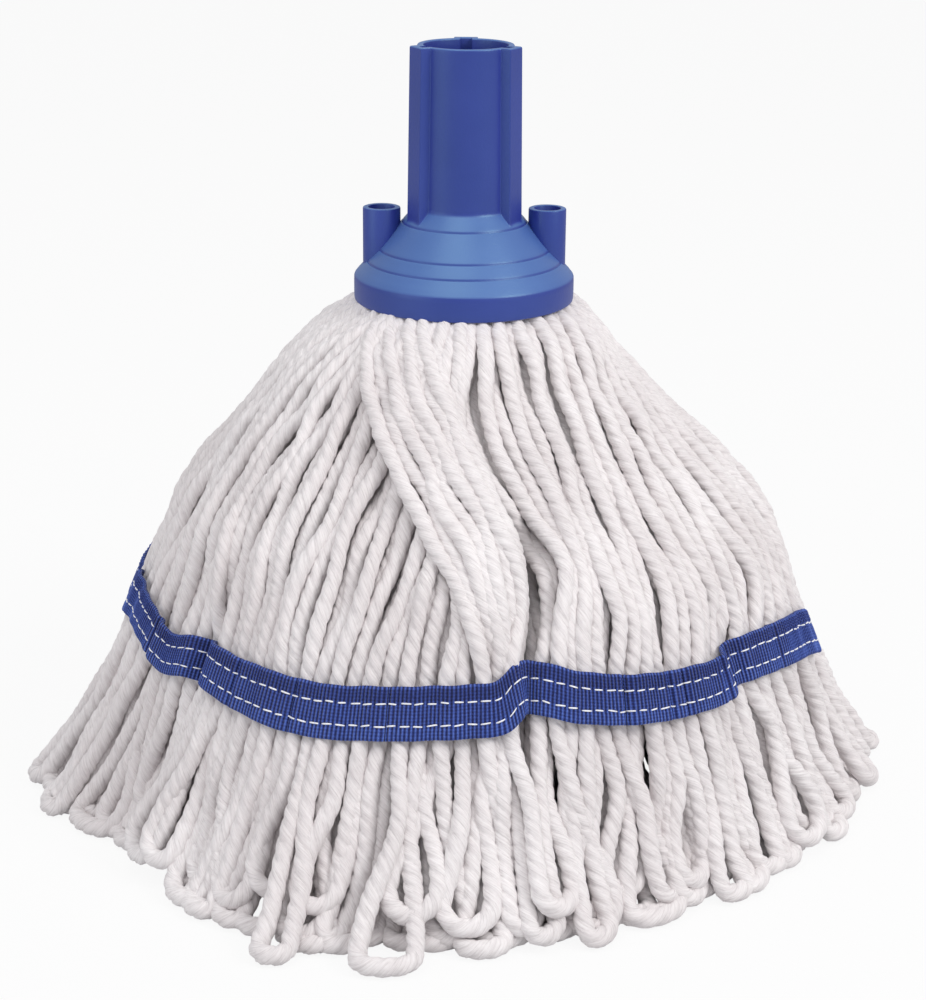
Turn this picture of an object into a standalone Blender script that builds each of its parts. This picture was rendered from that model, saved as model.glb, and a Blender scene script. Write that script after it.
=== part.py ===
"""String mop head: a handle socket, a pinned clamp plate, two layers of looped yarn and sewn tapes.

Z is up and the floor is z = 0. The handle's axis is the Z axis, and the front of the mop faces -Y.
The outer yarn is two half skirts, front and rear, each of which swings outward on a hinge line
under the socket's rim. Lengths below are in millimetres.
"""
import math

import bmesh
import bpy
from mathutils import Vector

MM = 0.001
GAP = 0.3

# Handle tube of the socket
TUBE_TOP = 257.0
TUBE_RADIUS = 16.5
BORE_RADIUS = 14.2
BORE_FLOOR = 181.0
BOSS_RADIUS = 17.0
BOSS_BOTTOM = 178.0
RIB_HALF_WIDTH = 4.1
RIB_RADIUS = 19.4
RIB_CORNER = 1.4
RIB_BOTTOM = 198.0
RIB_ANGLES = (-30.0, 90.0, 210.0)
GROOVE_HALF_WIDTH = 2.0
GROOVE_RADIUS = 17.2
GROOVE_BOTTOM = 200.0

# Cone and rim of the socket
CONE_TOP = 203.0
SHOULDER_RADIUS = 36.5
SHOULDER_HEIGHT = 180.4
RIM_RADIUS = 37.5
RIM_CHAMFER = 0.9
RIM_BOTTOM = 171.0
RIM_WALL = 2.2
CONE_WALL = 3.4

# Two hollow posts on the cone
POST_OFFSET = 28.1
POST_RADIUS = 6.4
POST_HOLE_RADIUS = 4.5
POST_TOP = 202.3
POST_BOTTOM = 172.0

# Clamp plate, the pins that hold it to the posts, and the folded yarn above it
PLATE_RADIUS = 33.5
PLATE_TOP = 165.5
PLATE_THICKNESS = 3.0
PIN_TOP = 190.0
PIN_HOLLOW_RADIUS = 2.2
PIN_HEAD_RADIUS = 5.9
PIN_HEAD_THICKNESS = 1.6
FOLD_INNER_RADIUS = 17.6
FOLD_OUTER_RADIUS = 34.9
FOLD_TOP = 176.0
FOLD_MARGIN_DEG = 16.0
FOLD_STEPS = 18

# Outer yarn skirt, from the rim to the floor: (radius, height)
SKIRT_OUTSIDE = (
    (38.5, 170.0), (49.0, 161.5), (60.0, 150.5), (72.5, 136.5), (86.0, 120.0), (98.5, 104.5),
    (108.5, 88.0), (117.0, 69.0), (125.0, 49.0), (133.5, 29.0), (143.5, 11.5), (154.5, 0.0),
)
SKIRT_INSIDE = (
    (35.8, 166.4), (45.6, 157.0), (56.0, 146.2), (68.0, 132.6), (81.2, 116.5), (93.5, 101.2),
    (103.2, 85.2), (111.4, 66.7), (119.4, 46.7), (127.6, 26.5), (134.0, 9.0), (138.0, 0.0),
)
SKIRT_BUNDLES = 8
BUNDLE_STEPS = 3
BUNDLE_MARGIN_DEG = 0.3

# Inner yarn layer, from under the clamp plate to the floor: (radius, height)
INNER_OUTSIDE = (
    (25.0, 159.8), (32.0, 149.0), (45.0, 128.0), (61.0, 95.0), (72.0, 60.0), (80.0, 30.0), (92.0, 0.0),
)
INNER_INSIDE = (
    (19.0, 159.8), (26.0, 146.0), (39.0, 125.0), (55.0, 93.0), (66.0, 58.0), (74.0, 28.0), (80.0, 0.0),
)
INNER_BUNDLES = 12
INNER_STEPS = 3
INNER_MARGIN_DEG = 0.5

# Tapes and stitching
TAPE_THICKNESS = 1.1
TAPE_CLEARANCE = 0.8
TAPE_LOW = 58.8
TAPE_HIGH = 73.6
INNER_TAPE_LOW = 20.0
INNER_TAPE_HIGH = 35.0
TAPE_MARGIN_DEG = 0.6
TAPE_STEPS = 24
STITCH_HEIGHTS = {"lower": 0.27, "upper": 0.68}
STITCH_WIDTH = 0.9
STITCH_THICKNESS = 0.5

# Hinge lines of the two half skirts
HINGE_OFFSET = 35.0
HINGE_HEIGHT = 170.0

# First azimuth of each half, counted from +X towards +Y
HALVES = {"front": 180.0, "rear": 0.0}

ROUND_STEPS = 48
POST_STEPS = 24
SMOOTH_ANGLE = math.radians(35)
MERGE_DISTANCE = 1e-6


def clear_scene():
    for old in list(bpy.data.objects):
        bpy.data.objects.remove(old, do_unlink=True)


def make_material(name, colour, roughness):
    material = bpy.data.materials.new(name)
    material.use_nodes = True
    shader = material.node_tree.nodes["Principled BSDF"]
    shader.inputs["Base Color"].default_value = (*colour, 1.0)
    shader.inputs["Roughness"].default_value = roughness
    shader.inputs["Metallic"].default_value = 0.0
    return material


def ring_point(radius, height, angle_deg):
    angle = math.radians(angle_deg)
    return Vector((radius * math.cos(angle), radius * math.sin(angle), height)) * MM


def radius_at(outline, height):
    """Radius of an outline that runs downward, at one height."""
    for (r_above, z_above), (r_below, z_below) in zip(outline, outline[1:]):
        if z_below <= height <= z_above:
            share = (z_above - height) / (z_above - z_below)
            return r_above + share * (r_below - r_above)
    raise ValueError(f"height {height} is outside the outline")


def add_object(name, bm, parent=None):
    """A node from a mesh in the mop's own frame. A parent empty sits on the joint's axis."""
    bmesh.ops.recalc_face_normals(bm, faces=bm.faces)
    mesh = bpy.data.meshes.new(name)
    bm.to_mesh(mesh)
    bm.free()
    mesh.shade_smooth()
    mesh.set_sharp_from_angle(angle=SMOOTH_ANGLE)
    made = bpy.data.objects.new(name, mesh)
    bpy.context.scene.collection.objects.link(made)
    if parent is not None:
        made.parent = parent
        made.location = -parent.location
    return made


def give_material(piece, suffix, colour, roughness):
    piece.data.materials.append(make_material(f"{piece.name}_{suffix}", colour, roughness))


def bridge_rings(bm, rings, closed):
    """Quads between neighbouring rings of vertices, and two end faces where the sweep isn't closed."""
    pairs = list(zip(rings, rings[1:]))
    if closed:
        pairs.append((rings[-1], rings[0]))
    for ring, following in pairs:
        count = len(ring)
        for i in range(count):
            j = (i + 1) % count
            bm.faces.new((ring[i], ring[j], following[j], following[i]))
    if not closed:
        bm.faces.new(rings[0])
        bm.faces.new(rings[-1])


def turned(section, start_deg, end_deg, steps):
    """A closed section of (radius, height) points swept about the Z axis."""
    bm = bmesh.new()
    closed = abs(end_deg - start_deg) >= 360.0
    count = steps if closed else steps + 1
    rings = []
    for k in range(count):
        angle = start_deg + (end_deg - start_deg) * k / steps
        rings.append([bm.verts.new(ring_point(r, z, angle)) for r, z in section])
    bridge_rings(bm, rings, closed)
    return bm


def prism(outline, low, high):
    """An upright prism on a plan outline of (x, y) points."""
    bm = bmesh.new()
    rings = []
    for height in (low, high):
        rings.append([bm.verts.new(Vector((x, y, height)) * MM) for x, y in outline])
    bridge_rings(bm, rings, closed=False)
    return bm


def circle_outline(centre_x, radius, steps):
    turns = [2 * math.pi * k / steps for k in range(steps)]
    return [(centre_x + radius * math.cos(t), radius * math.sin(t)) for t in turns]


def rib_outline(angle_deg, half_width, reach, corner):
    """Plan of one rib: a bar from inside the tube wall outward, with two rounded outer corners."""
    start = 0.55 * TUBE_RADIUS
    corner_steps = 4
    plan = [(start, -half_width)]
    for side, first_turn in ((-1, -90.0), (1, 0.0)):
        for k in range(corner_steps + 1):
            turn = math.radians(first_turn + 90.0 * k / corner_steps)
            along = reach - corner + corner * math.cos(turn)
            across = side * (half_width - corner) + corner * math.sin(turn)
            plan.append((along, across))
    plan.append((start, half_width))
    cosine = math.cos(math.radians(angle_deg))
    sine = math.sin(math.radians(angle_deg))
    return [(a * cosine - c * sine, a * sine + c * cosine) for a, c in plan]


def combine(piece, operation, tools):
    """Applies one Boolean for each tool body, then removes the tool."""
    for bm in tools:
        tool = add_object("tool", bm)
        change = piece.modifiers.new(operation.lower(), "BOOLEAN")
        change.operation = operation
        change.solver = "EXACT"
        change.object = tool
        bpy.context.view_layer.update()
        graph = bpy.context.evaluated_depsgraph_get()
        result = bpy.data.meshes.new_from_object(piece.evaluated_get(graph))
        piece.modifiers.remove(change)
        piece.data = result
        bpy.data.objects.remove(tool, do_unlink=True)
    piece.data.shade_smooth()
    piece.data.set_sharp_from_angle(angle=SMOOTH_ANGLE)


def make_socket():
    """The moulding: tube with three ribs, cone and rim, with a seat for each hollow post."""
    cone_run = SHOULDER_RADIUS - TUBE_RADIUS
    cone_slope = (CONE_TOP - SHOULDER_HEIGHT) / cone_run
    inside_radius = RIM_RADIUS - RIM_WALL
    inside_low = SHOULDER_HEIGHT - cone_slope * (inside_radius - SHOULDER_RADIUS) - CONE_WALL
    inside_high = CONE_TOP - cone_slope * (BOSS_RADIUS - TUBE_RADIUS) - CONE_WALL
    section = [
        (BORE_RADIUS, TUBE_TOP), (TUBE_RADIUS, TUBE_TOP), (TUBE_RADIUS, CONE_TOP),
        (SHOULDER_RADIUS, SHOULDER_HEIGHT), (RIM_RADIUS, SHOULDER_HEIGHT - RIM_CHAMFER),
        (RIM_RADIUS, RIM_BOTTOM), (inside_radius, RIM_BOTTOM), (inside_radius, inside_low),
        (BOSS_RADIUS, inside_high), (BOSS_RADIUS, BOSS_BOTTOM), (BORE_RADIUS, BOSS_BOTTOM),
    ]
    socket = add_object("socket", turned(section, 0.0, 360.0, ROUND_STEPS))
    stop = circle_outline(0.0, BORE_RADIUS + 1.0, ROUND_STEPS)
    ribs = [
        prism(rib_outline(angle, RIB_HALF_WIDTH, RIB_RADIUS, RIB_CORNER), RIB_BOTTOM, TUBE_TOP)
        for angle in RIB_ANGLES
    ]
    combine(socket, "UNION", [prism(stop, BOSS_BOTTOM, BORE_FLOOR), *ribs])
    bore = prism(circle_outline(0.0, BORE_RADIUS, ROUND_STEPS), BORE_FLOOR, TUBE_TOP + 5)
    grooves = [
        prism(rib_outline(angle, GROOVE_HALF_WIDTH, GROOVE_RADIUS, 0.6), GROOVE_BOTTOM, TUBE_TOP + 5)
        for angle in RIB_ANGLES
    ]
    seats = [
        prism(circle_outline(x, POST_RADIUS + GAP, POST_STEPS), POST_BOTTOM - 5, POST_TOP + 5)
        for x in (-POST_OFFSET, POST_OFFSET)
    ]
    combine(socket, "DIFFERENCE", [bore, *grooves, *seats])
    return socket


def make_post(name, centre_x):
    """A hollow post that stands through the cone, open at both ends."""
    section = [
        (POST_HOLE_RADIUS, POST_BOTTOM), (POST_RADIUS, POST_BOTTOM),
        (POST_RADIUS, POST_TOP), (POST_HOLE_RADIUS, POST_TOP),
    ]
    post = add_object(name, turned(section, 0.0, 360.0, POST_STEPS))
    post.location.x = centre_x * MM
    return post


def make_clamp_plate():
    """The disc under the socket that grips the yarn, with a hole below each post."""
    disc = circle_outline(0.0, PLATE_RADIUS, ROUND_STEPS)
    plate = add_object("clamp_plate", prism(disc, PLATE_TOP - PLATE_THICKNESS, PLATE_TOP))
    holes = [
        prism(circle_outline(x, POST_HOLE_RADIUS, POST_STEPS), PLATE_TOP - 10, PLATE_TOP + 5)
        for x in (-POST_OFFSET, POST_OFFSET)
    ]
    combine(plate, "DIFFERENCE", holes)
    return plate


def make_clamp_pin(name, centre_x):
    """A hollow push-in pin: its head is under the clamp plate and its shank goes up into a post."""
    under_plate = PLATE_TOP - PLATE_THICKNESS - GAP
    shank = POST_HOLE_RADIUS - GAP
    head_bottom = under_plate - PIN_HEAD_THICKNESS
    section = [
        (0.0, head_bottom), (PIN_HEAD_RADIUS, head_bottom), (PIN_HEAD_RADIUS, under_plate),
        (shank, under_plate), (shank, PIN_TOP), (PIN_HOLLOW_RADIUS, PIN_TOP),
        (PIN_HOLLOW_RADIUS, under_plate), (0.0, under_plate),
    ]
    bm = turned(section, 0.0, 360.0, POST_STEPS)
    bmesh.ops.remove_doubles(bm, verts=bm.verts, dist=MERGE_DISTANCE)
    pin = add_object(name, bm)
    pin.location.x = centre_x * MM
    return pin


def make_layer(prefix, outside, inside, first_deg, span_deg, bundles, steps, margin_deg, parent):
    """Bundles of yarn side by side: equal sectors of one turned layer."""
    section = list(outside) + list(reversed(inside))
    made = []
    for k in range(bundles):
        start = first_deg + span_deg * k / bundles + margin_deg
        end = first_deg + span_deg * (k + 1) / bundles - margin_deg
        made.append(add_object(f"{prefix}_{k + 1}", turned(section, start, end, steps), parent))
    return made


def make_folded_yarn(half, first_deg):
    """The packed folds of one half of the yarn, gripped between the clamp plate and the cone."""
    low = PLATE_TOP + GAP
    section = [
        (FOLD_INNER_RADIUS, low), (FOLD_OUTER_RADIUS, low),
        (FOLD_OUTER_RADIUS, FOLD_TOP), (FOLD_INNER_RADIUS, FOLD_TOP),
    ]
    start = first_deg + FOLD_MARGIN_DEG
    end = first_deg + 180.0 - FOLD_MARGIN_DEG
    return add_object(f"{half}_folded_yarn", turned(section, start, end, FOLD_STEPS))


def band(outline, low, high, near, far, first_deg):
    """Half a turn of a strip that stands off an outline by near to far, between two heights."""
    section = [
        (radius_at(outline, low) + near, low), (radius_at(outline, low) + far, low),
        (radius_at(outline, high) + far, high), (radius_at(outline, high) + near, high),
    ]
    return turned(section, first_deg + TAPE_MARGIN_DEG, first_deg + 180.0 - TAPE_MARGIN_DEG, TAPE_STEPS)


def make_tapes(half, first_deg, hinge):
    """The outer and inner tape of one half skirt, and its two rows of stitching."""
    near = TAPE_CLEARANCE
    far = near + TAPE_THICKNESS
    outer = band(SKIRT_OUTSIDE, TAPE_LOW, TAPE_HIGH, near, far, first_deg)
    inner = band(SKIRT_INSIDE, TAPE_LOW, TAPE_HIGH, -far, -near, first_deg)
    tapes = [
        add_object(f"{half}_outer_tape", outer, hinge),
        add_object(f"{half}_inner_tape", inner, hinge),
    ]
    rows = []
    for name, share in STITCH_HEIGHTS.items():
        middle = TAPE_LOW + share * (TAPE_HIGH - TAPE_LOW)
        low = middle - STITCH_WIDTH / 2
        high = middle + STITCH_WIDTH / 2
        row = band(SKIRT_OUTSIDE, low, high, far + GAP, far + GAP + STITCH_THICKNESS, first_deg)
        rows.append(add_object(f"{half}_{name}_stitching", row, hinge))
    return tapes, rows


def make_hinge(half):
    """An empty on the line that one half skirt swings about."""
    hinge = bpy.data.objects.new(f"{half}_skirt_hinge", None)
    side = -1.0 if half == "front" else 1.0
    hinge.location = Vector((0.0, side * HINGE_OFFSET, HINGE_HEIGHT)) * MM
    bpy.context.scene.collection.objects.link(hinge)
    return hinge


def build():
    clear_scene()
    plastic = [
        make_socket(),
        make_post("left_post", -POST_OFFSET),
        make_post("right_post", POST_OFFSET),
        make_clamp_plate(),
        make_clamp_pin("left_clamp_pin", -POST_OFFSET),
        make_clamp_pin("right_clamp_pin", POST_OFFSET),
    ]
    yarn = make_layer(
        "inner_yarn", INNER_OUTSIDE, INNER_INSIDE, 0.0, 360.0,
        INNER_BUNDLES, INNER_STEPS, INNER_MARGIN_DEG, None,
    )
    tapes = []
    threads = []
    for half, first_deg in HALVES.items():
        hinge = make_hinge(half)
        yarn.append(make_folded_yarn(half, first_deg))
        yarn += make_layer(
            f"{half}_yarn", SKIRT_OUTSIDE, SKIRT_INSIDE, first_deg, 180.0,
            SKIRT_BUNDLES, BUNDLE_STEPS, BUNDLE_MARGIN_DEG, hinge,
        )
        half_tapes, half_threads = make_tapes(half, first_deg, hinge)
        tapes += half_tapes
        threads += half_threads
        near = TAPE_CLEARANCE
        low_band = band(
            INNER_OUTSIDE, INNER_TAPE_LOW, INNER_TAPE_HIGH, near, near + TAPE_THICKNESS, first_deg
        )
        tapes.append(add_object(f"{half}_inner_layer_tape", low_band))
    for piece in plastic:
        give_material(piece, "blue_plastic", (0.045, 0.095, 0.40), 0.42)
    for piece in yarn:
        give_material(piece, "cotton", (0.80, 0.78, 0.77), 0.95)
    for piece in tapes:
        give_material(piece, "blue_webbing", (0.035, 0.085, 0.38), 0.8)
    for piece in threads:
        give_material(piece, "white_thread", (0.86, 0.86, 0.88), 0.8)


build()
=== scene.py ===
"""Looks of the string mop head: a moulded blue socket, looped strands of twisted cotton and sewn webbing.

Lengths are in millimetres until a mesh is made. An azimuth is in degrees about the handle's axis:
0 faces the front, -Y, and +90 is the right side, +X. A point on the yarn is given by its azimuth, by
its run, the distance down the skirt's outline from the rim, and by its depth under that outline.
"""

import math

import bmesh
import bpy
import numpy as np
from mathutils import Matrix, Vector


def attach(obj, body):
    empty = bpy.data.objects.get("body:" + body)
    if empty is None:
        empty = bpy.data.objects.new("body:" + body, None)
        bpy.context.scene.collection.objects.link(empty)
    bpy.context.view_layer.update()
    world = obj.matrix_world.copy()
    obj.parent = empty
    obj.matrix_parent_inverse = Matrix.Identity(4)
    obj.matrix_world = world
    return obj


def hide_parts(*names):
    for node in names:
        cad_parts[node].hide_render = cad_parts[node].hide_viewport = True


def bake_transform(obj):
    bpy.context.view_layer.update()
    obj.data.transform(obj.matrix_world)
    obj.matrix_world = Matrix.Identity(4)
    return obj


MM = 0.001
SEED = 7

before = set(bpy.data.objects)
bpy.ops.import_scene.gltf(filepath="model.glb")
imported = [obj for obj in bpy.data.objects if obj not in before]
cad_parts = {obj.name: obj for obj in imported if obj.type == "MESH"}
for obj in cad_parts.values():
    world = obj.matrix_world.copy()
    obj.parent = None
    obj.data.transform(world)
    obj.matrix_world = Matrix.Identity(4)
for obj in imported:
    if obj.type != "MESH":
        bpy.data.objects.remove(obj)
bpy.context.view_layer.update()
rng = np.random.default_rng(SEED)

# ---------------------------------------------------------------- driving dimensions

STRAND_RADIUS = 2.75
LOOSE_RADIUS = 3.15
PLY_COUNT = 3
PLY_GROOVE = 0.155
PLY_PITCH = 14.5
STRAND_SPACING = 5.4

# The skirt's outer surface, from the rim to the floor: (radius, height)
OUTLINE = (
    (29.5, 173.6), (33.5, 172.6), (38.0, 170.6), (49.0, 162.5), (58.0, 152.0), (68.5, 140.0),
    (82.0, 125.0), (96.5, 108.0), (108.0, 90.0), (117.0, 70.0), (125.0, 50.0), (133.0, 30.0),
    (142.5, 12.0), (150.0, 0.0), (157.0, -12.0),
)
RIM_POINT = 2
# How far the skirt leans to the right at each height: (height, lean)
LEAN = ((0.0, 0.0), (90.0, 3.0), (150.0, -3.5), (171.0, 0.0))

# The inner layer's surface: (radius, height)
INNER_OUTLINE = (
    (22.0, 162.0), (25.0, 159.0), (32.0, 148.0), (45.0, 127.0), (61.0, 94.0), (72.0, 60.0), (80.0, 30.0),
    (95.0, 10.0), (108.0, 0.0),
)

# Where the strands wander sideways between the rim and the tape: for each azimuth at the tape, the
# offset in degrees at each of these runs
TAPE_RUN = 134.0
FLOW_RUNS = (0.0, 20.0, 42.0, 64.0, 86.0, 110.0, TAPE_RUN)
FLOW = {
    -180.0: (0.0, 0.0, 0.0, 0.0, 0.0, 0.0, 0.0),
    -150.0: (4.0, 2.0, 1.0, 0.0, 0.0, 0.0, 0.0),
    -120.0: (8.0, 3.0, 0.0, -1.0, 0.0, 0.0, 0.0),
    -90.0: (10.0, 2.0, -2.0, -3.0, -1.5, 0.0, 0.0),
    -60.0: (5.0, -2.0, -6.0, -6.0, -4.0, -1.5, 0.0),
    -47.0: (6.0, 1.0, -4.0, -6.3, -5.0, -1.6, 0.0),
    -36.0: (0.0, 1.0, 0.0, -1.5, -2.0, -1.0, 0.0),
    -26.0: (12.0, 11.0, 9.0, 5.5, 2.5, 0.5, 0.0),
    -18.5: (12.5, 11.0, 9.0, 7.0, 4.2, 1.0, 0.0),
    -14.5: (12.0, 11.0, 10.0, 9.0, 7.0, 1.5, 0.0),
    -8.5: (10.0, 9.0, 7.5, 6.0, 3.5, 0.3, 0.0),
    -4.0: (8.0, 7.0, 5.0, 3.0, 2.3, 0.8, 0.0),
    3.0: (4.0, 2.0, -1.0, -4.0, -4.5, -1.8, 0.0),
    11.0: (-4.0, -7.5, -6.0, -0.5, 5.4, 1.7, 0.0),
    18.7: (0.3, 1.5, 3.0, 3.3, 3.2, 1.2, 0.0),
    29.5: (13.5, 11.5, 7.5, 3.5, 2.6, 1.5, 0.0),
    52.5: (37.5, 25.0, 14.0, 8.0, 5.5, 5.0, 0.0),
    75.0: (31.0, 21.0, 12.0, 7.0, 4.5, 3.0, 0.0),
    90.0: (26.5, 17.0, 10.0, 5.5, 3.5, 2.0, 0.0),
    120.0: (17.6, 11.0, 6.0, 3.0, 2.0, 1.0, 0.0),
    150.0: (8.8, 5.0, 3.0, 1.5, 1.0, 0.5, 0.0),
    180.0: (0.0, 0.0, 0.0, 0.0, 0.0, 0.0, 0.0),
}

# A bunch that crosses over the others: its first and last strand's azimuth at the rim and at the
# pinch in the tape, how soon each swings over, and how far the last one bulges past the pinch
CROSSING_START = (-47.0, -15.0)
CROSSING_EASE = (2.0, 4.0)
CROSSING_BULGE = 3.5
CROSSING_BULGE_RUN = 86.0
CROSSING_BULGE_LENGTH = 22.0
CROSSING_SPAN = (2.8, 7.2)
CROSSING_COUNT = 8
CROSSING_LIFT = 4.6
GROOVE_EDGE = 10.6

# Where the front's strands stand closer together at the tape: (azimuth, half width, how much more)
CROWDED = ((-37.0, 13.0, 0.5), (16.0, 4.0, 0.35), (42.0, 14.0, 0.25))

# Folds of the skirt: (azimuth, half width in degrees, run, half length, depth)
FOLDS = (
    (13.0, 2.2, 89.0, 17.0, 14.0), (10.0, 1.7, 112.0, 14.0, 10.0), (-57.0, 2.6, 92.0, 26.0, 5.0),
    (-48.5, 1.8, 118.0, 24.0, 5.0), (48.5, 1.8, 116.0, 20.0, 4.5), (-74.0, 3.0, 80.0, 30.0, 3.0),
    (33.0, 2.0, 95.0, 20.0, 2.0), (120.0, 2.2, 100.0, 24.0, 5.0), (152.0, 2.4, 95.0, 24.0, 5.0),
    (-165.0, 2.4, 100.0, 24.0, 6.0), (-128.0, 2.2, 95.0, 22.0, 4.0),
)
# Puffs of the skirt above the tape, written as the folds are
PUFFS = (
    (2.0, 7.0, 104.0, 22.0, 4.0), (-52.0, 3.5, 96.0, 24.0, 2.5), (24.0, 9.0, 100.0, 30.0, 2.0),
    (-30.0, 9.0, 105.0, 30.0, 2.0), (62.0, 8.0, 100.0, 30.0, 2.5), (104.0, 10.0, 100.0, 30.0, 2.5),
    (136.0, 10.0, 100.0, 30.0, 3.0), (178.0, 12.0, 100.0, 30.0, 3.0), (-145.0, 12.0, 100.0, 30.0, 3.0),
    (-106.0, 12.0, 100.0, 30.0, 2.5),
)

# Outer yarn: legs of the loops in each half, and the loops' ends
LEGS_PER_HALF = 132
BACKING_LEGS = 72
BACKING_DEPTH = 8.5
GRIP_DEPTH = 0.6
# Over this run on each side of the tape, the strands get back their own small wandering
FREE_RUN = 28.0
FIRST_AZIMUTH = {"front": -90.0, "rear": 90.0}
BUNDLES = 8
LOOP_RINGS = 300
LOOP_SIDES = 18
# Where the legs begin: a little way in from the rim, under the cone
LEG_START = -7.0
LEG_NODES = 34
TURN_NODES = 7
LAYER_ORDER = (0, 2, 1, 3)
LAYER_PACKING = 4.4
LOOP_END_RADIUS = 143.0
# How far the loops reach over the floor where the hem bulges or draws in: (azimuth, radius)
LOOP_REACH = (
    (-90.0, 152.0), (-78.0, 160.0), (-52.0, 148.0), (-25.0, 171.0), (15.0, 158.0), (45.0, 147.0),
    (68.0, 153.0), (90.0, 158.0), (112.0, 142.0), (150.0, 150.0), (180.0, 147.0), (210.0, 150.0),
    (244.0, 139.0), (270.0, 153.0),
)
FLOOR_RADIUS = 150.0
FLOOR_RUN = 206.5
FLARE_HEIGHT = 62.0
PAIRINGS = (
    ((0, 3), (1, 4), (2, 5)), ((0, 4), (1, 3), (2, 5)),
    ((0, 2), (1, 5), (3, 4)), ((0, 3), (1, 5), (2, 4)),
)

# Outer tape: height of its middle at each bend of its line (azimuth, height), and its creases
# (azimuth, half width, depth)
TAPE_WIDTH = 16.5
TAPE_THICKNESS = 1.2
# Where the tape climbs, how far its width turns square to it: 0 keeps along the strands
SQUARING = 0.35
RIB_PITCH = 1.3
RIB_HEIGHT = 0.17
BEAD_PITCH = 1.05
TAPE_MIDDLE = (
    (-90.0, 63.0), (-80.0, 69.0), (-68.0, 69.0), (-57.0, 65.5), (-48.0, 68.5), (-36.0, 66.0),
    (-24.0, 64.5), (-10.0, 66.5), (0.0, 68.0), (5.0, 69.0), (8.0, 74.0), (11.0, 74.0), (18.0, 70.0),
    (28.0, 67.0), (37.0, 66.0), (44.0, 66.0), (49.0, 69.0), (62.0, 66.5), (75.0, 61.0), (90.0, 50.0),
    (105.0, 60.0), (120.0, 66.0), (137.0, 63.0), (152.0, 68.0), (170.0, 64.0), (193.0, 67.5),
    (212.0, 63.5), (232.0, 68.0), (250.0, 66.0), (262.0, 63.0), (270.0, 60.0),
)
# Where the rear tape's ends are tucked under the yarn: (azimuth, half width, depth)
TUCKED_ENDS = ((91.0, 6.0, 8.5), (-90.8, 4.0, 3.0))
# The tape's ends in each half, and how wide it shows at each azimuth
TAPE_SPANS = {"front": (-89.2, 84.0), "rear": (91.0, 269.2)}
TAPE_SPREAD = (
    (-84.0, 1.0), (-72.0, 0.8), (-50.0, 0.85), (-30.0, 1.05), (14.0, 1.0), (45.0, 0.9), (80.0, 1.0),
)
CREASE_LENGTH = 19.0
CREASES = (
    (-62.0, 0.8, 2.0), (-47.6, 1.1, 2.4), (-38.5, 0.5, 0.9), (-27.0, 0.5, 0.8), (-12.0, 0.5, 0.8),
    (8.9, 1.0, 1.8), (24.6, 0.55, 2.2), (32.6, 0.45, 1.5), (35.4, 0.45, 1.5), (44.0, 0.4, 1.2),
    (46.6, 1.0, 2.2), (59.5, 0.6, 2.2), (70.0, 0.4, 0.9),
    (101.0, 0.6, 2.0), (120.0, 0.8, 3.4), (133.0, 0.5, 1.6), (152.0, 0.8, 3.4), (170.0, 0.5, 1.5),
    (195.0, 0.8, 3.4), (214.0, 0.6, 2.0), (232.0, 0.8, 3.0), (250.0, 0.6, 2.0),
)
STITCH_SHARES = {"lower": 0.27, "upper": 0.68}
STITCH_LENGTH = 3.5
STITCH_SPACING = 4.2
STITCH_RADIUS = 0.28

# Inner layer
INNER_BUNDLES = 12
INNER_LEGS_PER_BUNDLE = 8
INNER_STRAND_RADIUS = STRAND_RADIUS * 0.95
INNER_RINGS = 190
INNER_SIDES = 12
INNER_LOOP_RADIUS = 88.0
INNER_TAPE_RUN = 132.0
INNER_TAPE_WIDTH = 15.0

# Folded yarn under the cone
FOLD_LEVELS = (168.5, 173.3)
FOLD_BEND_RADIUS = 20.4
FOLD_BEND_REACH = 2.4
FOLD_RADII = (24.0, 32.0)
FOLD_COUNT = 28
FOLD_STRAND_RADIUS = 2.2
FOLD_RINGS = 26
FOLD_SIDES = 12
FOLD_MARGIN_DEG = 19.0

# Socket
TUBE_TOP = 257.0
TUBE_RADIUS = 16.2
TUBE_DRAFT = 0.7
BORE_RADIUS = 14.2
BORE_FLOOR = 181.0
BORE_STEP = 200.0
BOSS_RADIUS = 17.0
BOSS_BOTTOM = 178.0
RIB_AZIMUTHS = (-60.0, 60.0, 180.0)
RIB_REACH = 19.2
RIB_HALF_WIDTH = 4.1
GROOVE_REACH = 17.0
GROOVE_HALF_WIDTH = 2.0
CONE_TOP = 203.0
CONE_TOP_RADIUS = 16.5
SHOULDER_RADIUS = 36.5
SHOULDER_HEIGHT = 180.4
RIM_RADIUS = 37.5
RIM_BOTTOM = 171.0
RIM_WALL = 2.2
CONE_WALL = 3.4
RING_RADII = (21.2, 29.2, 33.0)
RING_DEPTH = 0.4
RING_HALF_WIDTH = 0.2
POST_OFFSET = 28.1
POST_RADIUS = 6.4
POST_HOLE_RADIUS = 4.5
POST_TOP = 202.3
POST_BOTTOM = 172.0
SOCKET_COLUMNS = 540
LIP_RADIUS = 0.55
FILLET_RADIUS = 2.4
WELD_DISTANCE = 1e-6

# Camera, set at the photographed angle
CAMERA_DISTANCE = 0.7691
CAMERA_HEIGHT = 0.3528
CAMERA_PITCH_DEG = 18.29
CAMERA_ROLL_DEG = 0.505
CAMERA_LENS = 82.58
CAMERA_SHIFT = (0.001, -0.0025)
SENSOR_WIDTH = 36.0

# Light
WORLD_LIGHT = 0.545
FLOOR_GLOW = 0.915
LIGHT_TARGET = (0.0, 0.0, 0.1)
# (name, place, size, power, colour)
LIGHTS = (
    ("key", (1.1, -0.7, 1.2), 0.8, 13.5, (1.0, 0.99, 0.98)),
    ("fill", (-1.4, -0.9, 0.6), 1.2, 4.2, (0.97, 0.98, 1.0)),
    ("top", (-0.22, -0.62, 1.55), 1.1, 7.2, (1.0, 1.0, 1.0)),
)


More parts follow.
